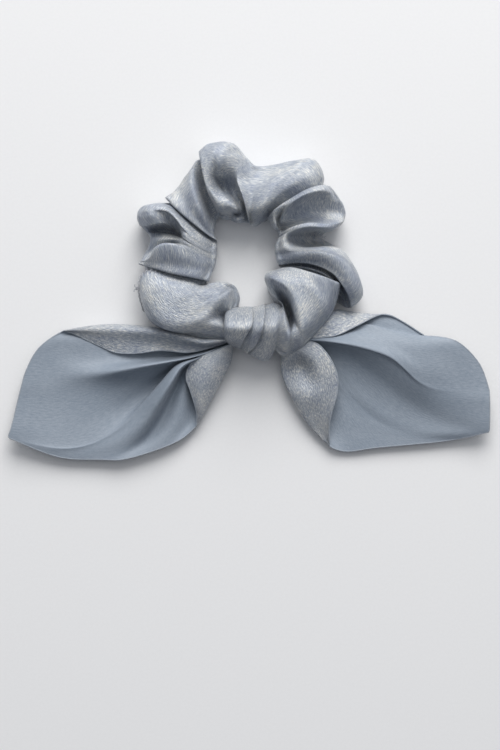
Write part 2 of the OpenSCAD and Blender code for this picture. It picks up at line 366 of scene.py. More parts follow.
# ---------------------------------------------------------------- the ring's cloth cover
# Each row is one fold line of the gathered tube, from the hair opening's side over the top to
# the outside, as (x, y, height) in millimetres. The rows go anticlockwise from the knot.
COVER_ROWS = [
    # right of the knot: the folded puff with its hollow
    [(3, -6, 12), (3, -8, 16.5), (3, -12, 18), (3, -16, 16), (3, -18, 11)],
    [(11, -5, 12), (11, -7.5, 17), (11.5, -12, 19), (11.5, -17, 16), (11, -20, 10)],
    [(14.2, -1, 12), (14.5, -4, 19.5), (15.1, -10.5, 22), (14.2, -17, 18), (13, -21.8, 9)],
    [(11.8, 1.4, 10), (13.9, -1.2, 16.5), (15.2, -5.4, 19.5), (16.2, -10, 20.5), (16.7, -14, 21.5),
     (16.4, -18.5, 18), (16.2, -22, 9)],
    [(9.6, 3.2, 9), (11.6, 1.8, 13), (14.4, -0.8, 8), (16.3, -5.4, 4), (17.3, -9, 9.5), (17.9, -12.4, 21.3),
     (18.2, -17, 18.8), (18.6, -21.2, 9)],
    [(7.9, 5.8, 9), (10, 4.8, 14.6), (13.4, 2.4, 10), (16.2, -2, 4), (17.8, -6.6, 6.5), (18.8, -10.6, 20.5),
     (19.6, -16, 19.6), (20.6, -20, 9)],
    [(6.8, 8.4, 9), (8.8, 7.8, 17), (12.4, 5.6, 15), (15.6, 1.8, 11.5), (17.8, -3, 9.5), (19.1, -7.6, 14),
     (20.2, -11.6, 21.4), (21.2, -16, 19.8), (22.2, -18.9, 9)],
    [(6.4, 10.4, 10), (8.4, 10, 18), (11.4, 8.4, 21.2), (14.6, 6.2, 22.5), (17.2, 2.6, 23), (18.9, -2.6, 23.2),
     (20.4, -7.8, 23), (21.6, -12.4, 22.2), (23.4, -17.9, 9)],
    [(7, 12, 9.5), (9.8, 11.4, 18), (15.4, 8.8, 22.5), (21, 4, 23.3), (25, -2, 22.5), (27, -8, 20), (28.6, -12.3, 9)],
    [(9.2, 13.2, 9.5), (13.6, 12.6, 18), (21.6, 9.6, 22), (28.5, 5.2, 22), (32.8, 0, 20), (35.2, -3.4, 10)],
    ("edge", -1, [(13.4, 14.4, 11), (18, 14.6, 17.5), (24.2, 12.8, 20.5), (31, 10.6, 20.5), (38.4, 7.9, 16)]),
    [(14, 13.6, 6), (18.6, 12.8, 8.5), (24.4, 11, 9.5), (30.4, 8.8, 9.5), (37, 5.8, 8)],
    # the lower right band
    [(13, 14.6, 6), (19.6, 13.9, 8.5), (26.4, 12.2, 10), (33, 9.2, 9.4), (38, 4.4, 7), (40.2, -1, 5)],
    [(13, 14.9, 7), (20.2, 14.8, 15), (27.2, 13.4, 17), (33.6, 10.2, 16.6), (38.2, 5, 12), (40.8, -2, 6)],
    [(12.8, 15.1, 7), (20.5, 15.3, 9), (27.6, 14.1, 9.4), (34, 10.9, 9), (38.8, 5.4, 7.4), (41.6, -2.2, 5)],
    ("edge", 1, [(12.3, 15.4, 10), (20.8, 16, 17), (27.6, 14.9, 19), (34.3, 11.6, 19.4), (37.8, 7.6, 18.4),
     (41, 2.6, 15.4), (42.4, -2.3, 9)]),
    [(11.3, 17.4, 11), (19, 18.2, 20), (28, 18, 22), (36.4, 14.6, 21.4), (41.8, 8.2, 18.8), (44.6, 2.6, 14.6),
     (45.4, -0.4, 8)],
    [(10.9, 19.6, 10), (18.5, 20.2, 20.5), (28, 20.4, 23), (36, 18.8, 21.6), (42.8, 13.6, 17.6), (46.6, 8, 14),
     (47.9, 4.2, 8)],
    # the loop above it, with a pocket inside
    [(10.6, 21.6, 10), (14.4, 22, 17.5), (19.6, 21.6, 20.5), (27.6, 21.9, 21.5), (34, 22.6, 18.5), (38.4, 22, 14),
     (40.4, 20.4, 9)],
    [(10.7, 22.8, 10), (14.6, 23.6, 17.5), (18.8, 23.4, 14), (26, 23.4, 9), (32.6, 23.8, 8), (36, 23.8, 6)],
    [(10.9, 24.2, 10), (14.6, 25.6, 17.5), (18.6, 26.2, 9), (25.6, 25.4, 4), (31, 24.8, 4), (34, 25, 4)],
    [(11.4, 25.4, 10), (15, 27.3, 17.5), (19.6, 28.4, 10), (25.6, 28.4, 4.5), (30.2, 27.4, 4)],
    [(11.8, 26.3, 10), (15.8, 28.4, 17.5), (21, 29.8, 16), (26.6, 30.2, 12.5), (31.4, 28.8, 8)],
    [(12.3, 27, 9), (16.6, 29.2, 17.5), (24, 31, 21), (31, 30.6, 20.5), (35.6, 30.6, 17), (38, 31.8, 10)],
    ("edge", -1, [(12.3, 27.8, 10), (17.4, 31, 18), (25, 33, 20), (32, 32.4, 19.5), (37.6, 32.9, 16.5),
     (39.8, 34, 10)], [(0, 1), (0.45, 1), (0.7, 0)]),
    # the upper right lobe
    [(12, 29.2, 6), (12.8, 29.9, 10), (14, 30.5, 5.5), (16.6, 31.6, 8.4), (21.4, 33.8, 9), (28, 35, 11),
     (35, 35.2, 13.6), (40.3, 35.8, 9.5)],
    [(10.6, 30.4, 9), (11.4, 31.2, 15.6), (12.6, 32.2, 7), (14.6, 33.2, 11.6), (21, 36.4, 10.8), (28, 38, 11),
     (35.4, 38, 12.6), (40.5, 37.4, 9.5)],
    [(9.4, 32.2, 10), (10.7, 33.5, 17.4), (12.2, 34.5, 10), (13.9, 35.7, 16), (20.4, 39.8, 16), (27.6, 42.4, 15.4),
     (34.8, 41.8, 15.4), (39.6, 40.4, 10)],
    [(8.4, 33.6, 10), (10.4, 36.4, 18), (12.2, 37.4, 17.5), (17.5, 41.2, 21.6), (24.5, 44.8, 23), (31, 45.8, 21.6),
     (37.6, 43.8, 11)],
    ("edge", -1, [(7.7, 35, 12), (10.3, 38.4, 17.5), (17.5, 43, 20), (24.4, 46.8, 20.5), (30.3, 48.5, 19),
     (34, 48.2, 12)]),
    [(8.4, 35.4, 7), (11.2, 38, 11.5), (18, 41.6, 13), (24.6, 45, 13.4), (29.6, 46.8, 12.4), (32.5, 47, 9)],
    # the broad panel at the top right
    [(6.5, 34.4, 7), (9.6, 38.8, 15), (16.6, 43.6, 16), (22, 46.2, 16.4), (27.5, 48.4, 15.6), (31, 49.2, 10)],
    [(5, 33.2, 9), (8.4, 39.3, 19.4), (14.6, 45.2, 19.8), (21, 49.2, 18.8), (27, 51.6, 16.8), (31.4, 51.6, 12)],
    [(3.9, 32.2, 10), (6.8, 38.5, 21), (13, 46, 21), (20, 51.6, 18.8), (26, 54.6, 16), (30, 56, 13)],
    [(3.4, 31.8, 10), (5.8, 38.3, 21.8), (11.2, 46, 21.6), (17.8, 52.4, 18.8), (23.8, 56.8, 15.8),
     (27.6, 59.3, 13.4)],
    [(3, 31.6, 10), (5.1, 38.2, 22), (10, 46, 21.8), (15.6, 52.6, 19), (20.8, 57, 15.8), (24.9, 59.9, 12.6)],
    [(2.4, 31.4, 10), (3.8, 38, 21.8), (7.4, 46, 21.6), (11.8, 52.2, 18.6), (15, 55.8, 15.2), (17, 58.9, 11)],
    [(1.6, 31.7, 9.5), (1.8, 38, 20.4), (3.8, 46, 20.2), (7, 51.6, 17.4), (9.4, 54.8, 14.4), (11, 57.7, 10.5)],
    [(1, 32.1, 8.5), (0.2, 38, 19), (0.4, 44, 19.6), (1.4, 49.5, 18), (3.4, 53.2, 15), (5.6, 56.8, 10)],
    ("edge", -1, [(0.5, 32.5, 11), (-1, 37, 19), (-2.4, 42.3, 21), (-4.1, 47.1, 21), (-4.9, 50.6, 19.4),
     (-2.6, 54.4, 18.4), (2.4, 57.1, 11)], [(0, 1), (0.5, 1), (0.68, 0)]),
    # the dome at the top
    [(0.2, 33.2, 5), (-0.8, 37, 7), (-2.8, 42.3, 8), (-4.9, 46.8, 9), (-6.3, 50, 12), (-6.8, 52.6, 17),
     (-5.8, 55.4, 19.2), (-3.4, 58, 18), (0.6, 58.9, 10)],
    [(-1.9, 33.4, 7), (-2.2, 35, 12), (-2.6, 36.8, 10), (-3.2, 38.8, 14.6), (-5, 42, 12), (-7.2, 46, 8.4),
     (-8.4, 48.4, 7.6), (-9.4, 50.6, 10), (-9.9, 53.2, 17.4), (-9.4, 56.4, 20), (-7, 60.8, 19.8), (-1.8, 61.4, 10)],
    [(-4.7, 33.2, 7), (-4.9, 35, 13.6), (-4.8, 36.6, 8.5), (-4.9, 38.6, 19.4), (-6.6, 41.4, 18), (-9.2, 45.4, 11.5),
     (-11, 48.4, 7.6), (-12, 50.4, 9.6), (-12.6, 53, 17.4), (-12.6, 56, 20.6), (-11.8, 60.8, 21.4),
     (-9, 64.8, 18.8), (-6, 66.2, 11)],
    [(-7.6, 34.4, 5), (-7.9, 36.2, 7), (-8.3, 38.6, 20), (-9.8, 41.4, 20.8), (-12, 45.2, 18.2), (-13.5, 48.2, 14.4),
     (-14.3, 50.8, 15.4), (-14.9, 53.6, 19.4), (-15.1, 57, 21), (-14.8, 61, 21.4), (-13.6, 64.4, 19.2),
     (-12, 66.9, 11)],
    [(-10.8, 34.8, 5), (-11.3, 36.4, 7.5), (-11.9, 38.2, 18.6), (-14, 42.8, 21), (-16, 48.2, 20), (-17, 52.4, 20.6),
     (-17.8, 57.6, 20.8), (-18, 63, 17.8), (-17.4, 65.9, 11)],
    ("edge", -1, [(-12.9, 36, 10), (-14.2, 39.4, 16.5), (-17, 45, 19.5), (-19.1, 52.2, 20.5), (-20.4, 59, 19),
     (-21, 62.6, 12)]),
    [(-12.2, 36.6, 5), (-12.9, 40.6, 7), (-14.9, 46.2, 8), (-16.7, 53, 9), (-18, 58.4, 9), (-18.6, 60.4, 8)],
    # the slanting panel at the top left
    [(-13.2, 34.4, 5), (-15.2, 37.2, 6.5), (-17.5, 43, 8), (-19.4, 49.5, 10), (-20.8, 55.5, 11.5), (-21.8, 59.6, 9)],
    [(-13.9, 32.2, 7), (-16.4, 36, 10.5), (-19.4, 43, 13.5), (-21.8, 49.5, 16.5), (-23.3, 54, 16), (-24.2, 56, 10)],
    [(-14.4, 29.4, 8), (-17.2, 31.8, 15), (-20.2, 38, 20), (-23.4, 45.5, 20), (-25.9, 49.9, 16.4), (-27.6, 51, 10)],
    [(-13.8, 27, 8), (-18.3, 30.3, 15), (-23.5, 37, 19), (-27, 43, 18), (-29.6, 46.6, 14.6), (-30.8, 46.6, 10)],
    ("edge", -1, [(-13, 25.5, 9), (-17.2, 27.8, 15.5), (-23.3, 32.4, 18.5), (-30.5, 38.6, 18.8), (-34.9, 43.3, 15)]),
    [(-13.4, 26.5, 6), (-17.8, 28.8, 11.5), (-23.2, 33.2, 14), (-29.2, 38.4, 14.5), (-32.6, 41.6, 12)],
    # the outer left lobe and its pocket
    [(-13.1, 24.6, 7), (-17.6, 26.6, 14), (-23.5, 31.2, 17), (-29.2, 36.4, 18), (-33.6, 40.2, 17.5),
     (-38.6, 41.6, 10)],
    [(-13, 23.2, 8), (-18, 25, 15.6), (-24, 29.2, 19.4), (-28.4, 33.4, 20.8), (-31.8, 37.2, 20.2),
     (-36, 39.6, 19.5), (-40.6, 40, 19), (-44.6, 40, 11)],
    ("edge", -1, [(-13, 22.2, 8.4), (-18.5, 23.9, 16), (-24.2, 27.4, 20.2), (-27.7, 30.6, 21.3), (-30.3, 34, 21),
     (-33.6, 36.8, 20), (-38.4, 37.8, 20.5), (-42.6, 38, 19.5), (-46.3, 37.8, 11)], [(0.38, 0), (0.54, 1),
     (0.62, 1), (0.74, 0)]),
    [(-13, 21.4, 8.5), (-18.5, 23, 16.2), (-24.3, 26.3, 20.3), (-26.8, 28.4, 21), (-28, 29.9, 18.6),
     (-29.4, 31.4, 12), (-32.4, 33.2, 14), (-35.8, 34.6, 19), (-40.4, 35.6, 21), (-44.2, 35.6, 18),
     (-46.8, 35.2, 11)],
    ("edge", -1, [(-13, 20.7, 8.6), (-18.5, 22.2, 16.3), (-24.3, 25.4, 20.4), (-26.5, 27, 21), (-27.7, 28.4, 18.6),
     (-29, 29.6, 8), (-31.8, 31.2, 12.5), (-35.4, 32.6, 18), (-39, 31.8, 19), (-42.6, 31.4, 16), (-45.6, 32, 10)],
     [(0.5, 0), (0.62, 1)]),
    [(-13, 20, 8.7), (-18.5, 21.5, 16.4), (-24.4, 24.6, 20.4), (-26.4, 25.9, 20.8), (-27.6, 27, 18), (-28.9, 28, 5),
     (-31.6, 29.4, 2.8), (-35, 30.4, 2.8), (-38.4, 30, 3.4), (-41.4, 29.8, 7), (-43.2, 30, 6)],
    [(-13.1, 19.4, 8.8), (-18.5, 20.8, 16.5), (-24.4, 23.8, 20.4), (-26.6, 25, 20.4), (-28.4, 26.2, 17),
     (-30.2, 27.2, 12.6), (-33, 27.9, 11.6), (-37, 28.4, 11), (-40, 28.3, 10), (-41.4, 28, 8)],
    [(-13.2, 18.8, 8.9), (-18.5, 20.1, 16.6), (-24.6, 23, 20.4), (-26.8, 24.1, 20.2), (-28.6, 25, 17.6),
     (-31, 25.9, 15), (-35, 26, 14.4), (-38.6, 25.8, 13), (-41.6, 24.4, 9)],
    [(-13.3, 18.2, 9), (-18.5, 19.4, 16.7), (-24.8, 22.1, 20.4), (-27, 23.2, 20.3), (-28.9, 24.2, 16.6),
     (-32, 24.8, 9.5), (-36, 24.2, 9), (-39, 22.4, 9), (-41.6, 20.8, 9), (-43.8, 20.4, 7)],
    # the left middle puff
    ("edge", 1, [(-13.4, 17.5, 9), (-18.4, 18.5, 16.8), (-24.8, 21, 20.4), (-27.2, 22.4, 20.8), (-29, 23.6, 21.2),
     (-32, 24.3, 22), (-36.3, 24.1, 21.4), (-39.4, 22.1, 20), (-41, 18.9, 18), (-43.2, 17.5, 15.5),
     (-45.4, 17.2, 12)], [(0.44, 0), (0.52, 1)]),
    [(-13.8, 15.7, 9), (-18.2, 16.4, 16.8), (-25, 18, 20.2), (-32, 19, 21), (-38, 18.2, 19.5), (-42, 16.9, 17),
     (-45.6, 16.7, 12)],
    [(-15, 12.2, 9), (-19.4, 12.8, 17), (-26, 13.8, 19), (-33, 14.8, 19), (-39.4, 15.8, 18), (-43, 16.2, 16),
     (-45.9, 16.3, 12)],
    ("edge", -1, [(-16.6, 8.6, 11), (-20.5, 9.3, 16.5), (-25.5, 10.2, 18.5), (-33.5, 11.9, 18.8), (-40, 14, 17),
     (-46, 16, 13)]),
    [(-17.2, 9.7, 7), (-21, 10.8, 11), (-26, 11.8, 12.6), (-33, 13.4, 13.4), (-39, 14.8, 13), (-43.6, 15.6, 9)],
    # the lower left puff; its first rows turn down beside the closing seam
    ("seam", 0, [(-17.6, 7.8, 7.5), (-22, 9, 13.6), (-28, 10.2, 15.4), (-35, 12, 16), (-41, 13.2, 15.6),
     (-44.8, 11.4, 14), (-45.6, 4, 11), (-43.8, -3.2, 7)]),
    [(-18, 7.2, 8), (-23, 7.6, 16.4), (-29.5, 8.2, 18.4), (-36, 9, 19), (-41.6, 7.4, 18.4), (-43.8, 1.4, 16.5),
     (-42.8, -5.6, 8)],
    [(-16.4, 8, 9), (-21, 5.8, 17), (-28, 4.2, 20), (-34.5, 2.2, 20.6), (-38.8, -2, 19.6), (-40.6, -6, 17),
     (-40.2, -8.9, 8)],
    [(-12.6, 8.8, 9.5), (-16.6, 5, 18), (-23.5, 1.2, 20.4), (-30, -2.6, 20.9), (-34.4, -6.8, 20.8),
     (-36.2, -9.6, 19), (-36, -11, 8)],
    [(-9, 8.6, 10), (-12.2, 4, 18), (-18.5, -0.8, 20.2), (-24.5, -5.4, 20.8), (-28.6, -9.6, 20.6),
     (-29.8, -11.8, 18.6), (-29.8, -12.9, 8)],
    [(-5.2, 6.6, 6), (-6.3, 5.6, 8.5), (-7.6, 5, 16.5), (-10, 2.4, 19.4), (-14.2, -2.4, 19.6), (-18.8, -8, 20.8),
     (-21.6, -11.8, 17), (-22.4, -14.4, 8)],
    [(-3.7, 2.9, 6), (-5.2, 2.4, 8), (-6.9, 1.6, 15), (-9.4, -1.4, 17.6), (-12.4, -5, 13.5), (-15.2, -9, 19),
     (-16.6, -13, 15), (-17, -15.3, 8)],
    [(-4, -0.8, 6), (-5.8, -1.4, 8.5), (-7.6, -2.8, 14.6), (-10.2, -6.2, 10.5), (-11.6, -9.6, 18),
     (-12.2, -13.6, 14.6), (-12.2, -15.7, 8)],
    [(-8, -5, 11), (-8, -7, 15), (-8, -10.5, 17), (-8, -14, 15), (-8, -15.5, 10)],
]
TOP_COLUMNS = 25
COVER_PITCH = 0.95
# How far in from each end of a row the tube stays full, and the width and drop of a folded edge.
COVER_EDGE = (4.2, 1.0, 1.8)
# Loose ends of the seam's thread in the pocket of the right-hand loop.
LOOSE_ENDS = [
    [(25.6, 27.6, 6.2), (27.4, 26.2, 8.4), (29.6, 25.6, 8), (31.6, 26.4, 6.4)],
    [(27.2, 25.2, 6), (28.6, 27, 8.6), (30.4, 27.8, 8), (32, 27, 5.6)],
    [(29, 24.8, 6), (29.4, 26.6, 9), (28.2, 28.6, 9.4), (26.8, 29.2, 8.6)],
    [(31.4, 24.8, 6), (30.4, 26.4, 9), (30.6, 28, 9.6), (31.2, 29.2, 9.6)],
    [(26, 26.2, 6), (28.4, 25.8, 8.6), (30.6, 27.2, 9), (32.4, 27.8, 7.6)],
]


def even_ends(top, reach, power=2.4):
    """Holds a section's height up to within reach of its two ends, where it turns down sharply."""
    top = top.copy()
    heights = top[:, 2].copy()
    along = np.concatenate([[0], np.cumsum(np.linalg.norm(np.diff(top, axis=0), axis=1))])
    for at, profile in ((along, heights), (along[-1] - along, heights[::-1])):
        knee = np.interp(reach, np.sort(at), profile)
        end = profile[0]
        near = at < reach
        if knee > end and reach > 0:
            s = 1 - at[near] / reach
            top[near, 2] = end + (knee - end) * (1 - s**power) ** (1 / power)
    return top


def offset(line, other, distance, most):
    """Level steps from a line towards another, as far as distance or a share of the gap, and
    the rise of the straight surface between the two lines over each step."""
    way = other - line
    level = way * (1, 1, 0)
    gap = np.maximum(np.linalg.norm(level, axis=1, keepdims=True), 1e-6)
    share = np.minimum(distance / gap, most)
    return level * share, (way - level) * share


def expand(rows, count, reach, width, drop):
    """The rows resampled alike. Each ("edge", side, row) becomes a sharply folded edge over
    the next or previous rows; a fourth value lists (place along the row, strength) pairs.
    Also returned is where the ("seam", 0, row) came, at which the tube's two ends meet."""
    lines = [even_ends(resample(r[2] if isinstance(r[0], str) else r, count), reach) for r in rows]
    out, seam = [], 0
    for i, r in enumerate(rows):
        if r[0] == "seam":
            seam = len(out)
        if r[0] != "edge":
            out.append(lines[i])
            continue
        marks = r[3] if len(r) > 3 else [(0, 1)]
        place = np.arange(count) / (count - 1)
        strength = np.interp(place, [m[0] for m in marks], [m[1] for m in marks])[:, None]
        near, near_rise = offset(lines[i], lines[i + r[1]], width, 0.45)
        far, far_rise = offset(lines[i], lines[i - r[1]], width * 0.8, 0.4)
        near_rise, far_rise = near_rise * (1 - strength), far_rise * (1 - strength)
        upper = lines[i] + near + near_rise + np.array([0, 0, 0.35]) * strength
        lower = lines[i] + near * 0.8 * strength + far * (1 - strength)
        lower = lower + far_rise - np.array([0, 0, drop]) * strength
        out += [upper, lines[i], lower] if r[1] < 0 else [lower, lines[i], upper]
    return out, seam


def cover_section(top):
    """A closed section: the row's top line, and an underside that lies on the table."""
    inner, outer = top[0], top[-1]
    across = outer - inner
    across[2] = 0
    low = 0.8 + 0.14 * max(0, 22 - top[:, 2].max())

    def under(share, height):
        p = inner + across * share
        p[2] = height
        return p

    seam = under(0.09, low + 0.7)
    below = [under(0.93, low + 0.5), under(0.7, low), under(0.4, low), under(0.2, low + 0.1)]
    return np.vstack([seam, top, below, seam])


def make_cover():
    tops, seam = expand(COVER_ROWS, TOP_COLUMNS, *COVER_EDGE)
    net = np.array([cover_section(top) for top in tops])
    net = np.roll(net, -seam, 0)
    columns = [3, 3, 3] + [4] * (TOP_COLUMNS - 5) + [3, 3] + [4, 5, 5, 4, 3]
    wide = spline(net.swapaxes(0, 1), columns).swapaxes(0, 1)
    steps = step_counts(net, COVER_PITCH, True)
    grid = spline(wide, steps, closed=True)
    grid = np.concatenate([grid, grid[:1]])
    inside = relax(grid[:-1], 1, True)
    grid = np.concatenate([inside, inside[:1]])
    grid = ripple(grid, 0.3, 20, 3.2, 3.1)
    grid[-1] = grid[0]
    grid[:, :, 2] = np.maximum(grid[:, :, 2], 0.25)
    return grid


# ---------------------------------------------------------------- the knot
KNOT_ROWS = [
    [(-8.6, -5, 12), (-8.9, -7, 15.5), (-9, -10.5, 17.5), (-9, -13.5, 15.5), (-8.7, -15, 11)],
    [(-9.3, -3, 11), (-9.9, -6, 17.5), (-10.2, -10.5, 20.5), (-10.1, -14, 17.5), (-9.5, -16.3, 10)],
    [(-8.6, -2.3, 11), (-9, -6, 19.5), (-9.3, -10.8, 23), (-9.2, -14.6, 19.5), (-8.6, -17.2, 10)],
    [(-6, -2.1, 11), (-6.2, -6, 20.5), (-6.8, -11, 24), (-7.2, -15.2, 20), (-6.8, -18.2, 10)],
    [(-2, -1.8, 11), (-1.8, -6, 21), (-2.6, -11, 25), (-4.4, -15.6, 20.5), (-5.2, -18.9, 10)],
    ("edge", -1, [(1.3, -1.8, 11), (1.7, -5, 20), (1.2, -10.3, 25), (-1.6, -14.9, 21.4), (-3.8, -19.2, 10)]),
    [(2.2, -1.8, 10), (2.6, -5, 18.6), (2.3, -10.5, 23.6), (-0.4, -15.3, 20.2), (-3, -19.4, 9.5)],
    [(4.4, -1.2, 11), (4.6, -5, 19.8), (4.2, -11, 24.8), (1.4, -16.6, 20.8), (-1.8, -20.4, 10)],
    ("edge", -1, [(6.6, -0.6, 11), (6.6, -5, 20), (5.9, -10.5, 24.8), (3.3, -17.3, 19.6), (-0.8, -21.3, 10)]),
    [(7.5, -0.8, 10), (7.6, -5, 18.6), (7, -10.7, 23.2), (4.4, -17.6, 18.2), (0.4, -21.8, 9.5)],
    [(10, -0.3, 11), (9.9, -5, 19.6), (9.2, -11, 24), (6.8, -18.5, 19), (3, -23.2, 10)],
    [(12.6, -0.8, 11), (12.4, -5, 19), (11.5, -11, 22.8), (9, -19, 18), (6, -24.4, 9.5)],
    [(14.2, -2, 10.5), (13.8, -6, 17), (12.9, -11, 20), (11.2, -18.2, 16), (9.2, -23.4, 9)],
    [(13.4, -3.8, 10), (13.1, -7, 14), (12.4, -11, 16), (11.4, -16.5, 13.5), (9.8, -20.5, 9)],
]

KNOT_COLUMNS = 17
KNOT_PITCH = 0.5
KNOT_EDGE = (0, 0.6, 2.3)
# The underside of the wrap: shares of the way across, and heights.
KNOT_UNDERSIDE = [(0.96, 4.5), (0.8, 1.6), (0.5, 0.9), (0.2, 1.6), (0.04, 4.5)]


def make_knot():
    tops, _ = expand(KNOT_ROWS, KNOT_COLUMNS, *KNOT_EDGE)
    net = []
    for top in tops:
        inner, outer = top[0], top[-1]
        across = outer - inner
        across[2] = 0
        below = []
        for share, height in KNOT_UNDERSIDE:
            p = inner + across * share
            p[2] = height
            below.append(p)
        net.append(np.vstack([top, below, top[:1]]))
    net = np.array(net)
    wide = spline(net.swapaxes(0, 1), [4] * (net.shape[1] - 1)).swapaxes(0, 1)
    grid = spline(wide, step_counts(net, KNOT_PITCH, False))
    return ripple(grid, 0.22, 14, 2.4, 7.7)


# ---------------------------------------------------------------- the tails
# Each line runs out from the knot to the end of the tail, in order across the cloth.
LEFT_TAIL = [
    [(-8, -16.2, 9), (-24, -20.6, 9), (-37, -19.9, 8.6), (-47.3, -21.1, 6.6), (-55.9, -20.7, 5),
     (-61.4, -18.5, 4.3), (-67.5, -15.7, 4.3), (-72.5, -13.3, 4.8), (-77.2, -11.7, 5.4)],
    [(-8, -16, 9.5), (-19.4, -18.4, 9), (-30.7, -17.4, 8.6), (-42, -16.6, 8), (-50, -16.2, 7), (-57.2, -15.2, 6.2),
     (-65, -13.6, 5.6), (-71, -12.4, 5.6), (-77.2, -11.6, 5.6)],
    [(-8, -15.6, 12.5), (-19.4, -16.6, 14), (-26, -15, 14.4), (-40, -12.3, 12), (-50, -11.6, 9.6), (-58, -11.3, 8),
     (-67, -11.2, 7), (-77.2, -11.6, 5.8)],
    [(-8.5, -14.6, 9), (-20, -14.3, 8), (-30, -12.2, 8), (-40, -10, 7), (-50, -9.1, 6.2), (-57.2, -8.8, 5.8),
     (-66.5, -9.5, 5.5), (-77.3, -11.6, 5.4)],
    [(-8.5, -15, 5), (-20, -15.5, 3), (-30, -14, 2), (-42, -12, 1.4), (-55, -10.6, 1.2), (-67, -11.2, 1.8),
     (-79, -12.4, 4.6)],
    [(-8.5, -16.5, 4.5), (-22, -18.4, 3.4), (-36, -17.8, 3.4), (-50, -17.2, 3.2), (-64, -15.8, 3.7),
     (-75, -14.6, 4.6), (-83.5, -15.2, 5.4)],
    [(-8.5, -17.2, 5.5), (-24, -21.3, 5.6), (-40, -23.4, 5.6), (-55, -25, 4.8), (-70, -23.6, 4), (-81, -20.6, 4.8),
     (-88.8, -20, 6)],
    [(-8.5, -17.4, 7.5), (-22, -22.4, 11.8), (-33, -24.7, 14.2), (-42.8, -26.4, 14), (-53, -28.2, 11),
     (-63, -29.4, 7.2), (-78, -29.8, 5), (-93.6, -29.6, 7)],
    [(-8.5, -17.7, 7), (-22, -22.4, 9.8), (-32.6, -25.2, 11), (-42, -27.4, 10.6), (-52, -29.8, 8.6),
     (-62, -32, 6.2), (-78, -33.6, 4.8), (-94.8, -34, 7)],
    [(-8.5, -18, 5.5), (-21.4, -23, 5.4), (-32, -26.6, 6), (-41.4, -30, 6), (-51, -33.4, 5), (-61, -36.2, 4.2),
     (-78, -38.6, 4.2), (-96, -38.6, 7)],
    [(-8.5, -18.3, 5.2), (-21.5, -23.5, 4.2), (-31.4, -27.6, 3), (-40.6, -32.8, 2.8), (-51, -39.4, 2.8),
     (-65, -45.4, 3.3), (-82, -50, 4.5), (-98.6, -49.6, 7.6)],
    [(-8.5, -18.5, 5.2), (-21.8, -23.6, 4.2), (-31.2, -28.4, 2.6), (-39.6, -34.8, 2), (-49.8, -42, 2.2),
     (-62.6, -49.8, 3.3), (-80, -55, 4.7), (-99.9, -54.4, 8)],
    [(-8.5, -18.6, 5.2), (-22, -23.7, 4.2), (-30.8, -28.8, 2.9), (-38.8, -36.4, 2.3), (-48.6, -45, 2.6),
     (-61, -53, 3.7), (-79, -57.8, 4.8), (-100.5, -56.2, 8)],
    [(-8.5, -18.7, 5.6), (-21.8, -23.5, 5.2), (-30.8, -27.9, 4.6), (-38.6, -35.6, 4), (-47.2, -44.4, 3.9),
     (-58, -54, 4.2), (-76, -60.4, 4.9), (-98.4, -57.2, 7.6)],
    [(-8.5, -18.8, 7.4), (-21.5, -23.2, 10.2), (-29.6, -25.9, 11.6), (-34.6, -31.4, 11), (-40.4, -38.6, 8.8),
     (-46.4, -46.4, 6.1), (-53.6, -53.8, 4.9), (-64, -59.8, 4.7), (-79, -64.7, 4.6)],
    [(-8.5, -18.85, 7), (-20.8, -23.2, 10.4), (-27.8, -26.8, 13.8), (-31.8, -32.8, 14.8), (-36.4, -40.6, 13),
     (-41, -48.8, 9), (-46.6, -56.4, 6), (-61.4, -65.6, 4.8)],
    [(-8.5, -18.9, 6), (-20, -22.8, 7), (-26.6, -27.2, 5), (-30.2, -34.6, 3.4), (-33.6, -42, 2.6),
     (-37.4, -49.6, 2.6), (-43, -58, 3.6), (-53, -65.6, 5.2)],
    [(-8.4, -19, 5.5), (-18.5, -23, 6), (-24, -28, 5.4), (-26.8, -35, 5.4), (-28.5, -42.4, 5), (-30.4, -50, 4.8),
     (-36.4, -60.7, 5)],
    [(-8.2, -19, 4.5), (-15.4, -24, 3.2), (-19.4, -29.6, 2.2), (-21, -36, 1.8), (-22.4, -43, 1.8), (-24, -50, 2.2),
     (-28, -56.8, 4.2)],
    [(-6.4, -18.6, 7), (-7.4, -24.9, 6.6), (-10.7, -31.5, 6), (-15.4, -40.1, 5.2), (-18.6, -46, 4.4),
     (-22.2, -51.8, 4)],
    [(-7, -18, 10), (-12.4, -24.4, 11), (-16.6, -30, 11), (-18.8, -36.6, 9.8), (-19.8, -43, 8), (-20.9, -48, 6),
     (-22.1, -51.8, 4.4)],
    [(-7.4, -17.4, 10.5), (-15, -20.6, 10.5), (-20.7, -22.4, 10), (-24.5, -25.8, 9), (-26.2, -30.8, 8.4),
     (-24.6, -36.2, 8), (-22.9, -41.5, 7.4), (-21.7, -46.8, 6.2), (-22, -51.6, 4.6)],
]
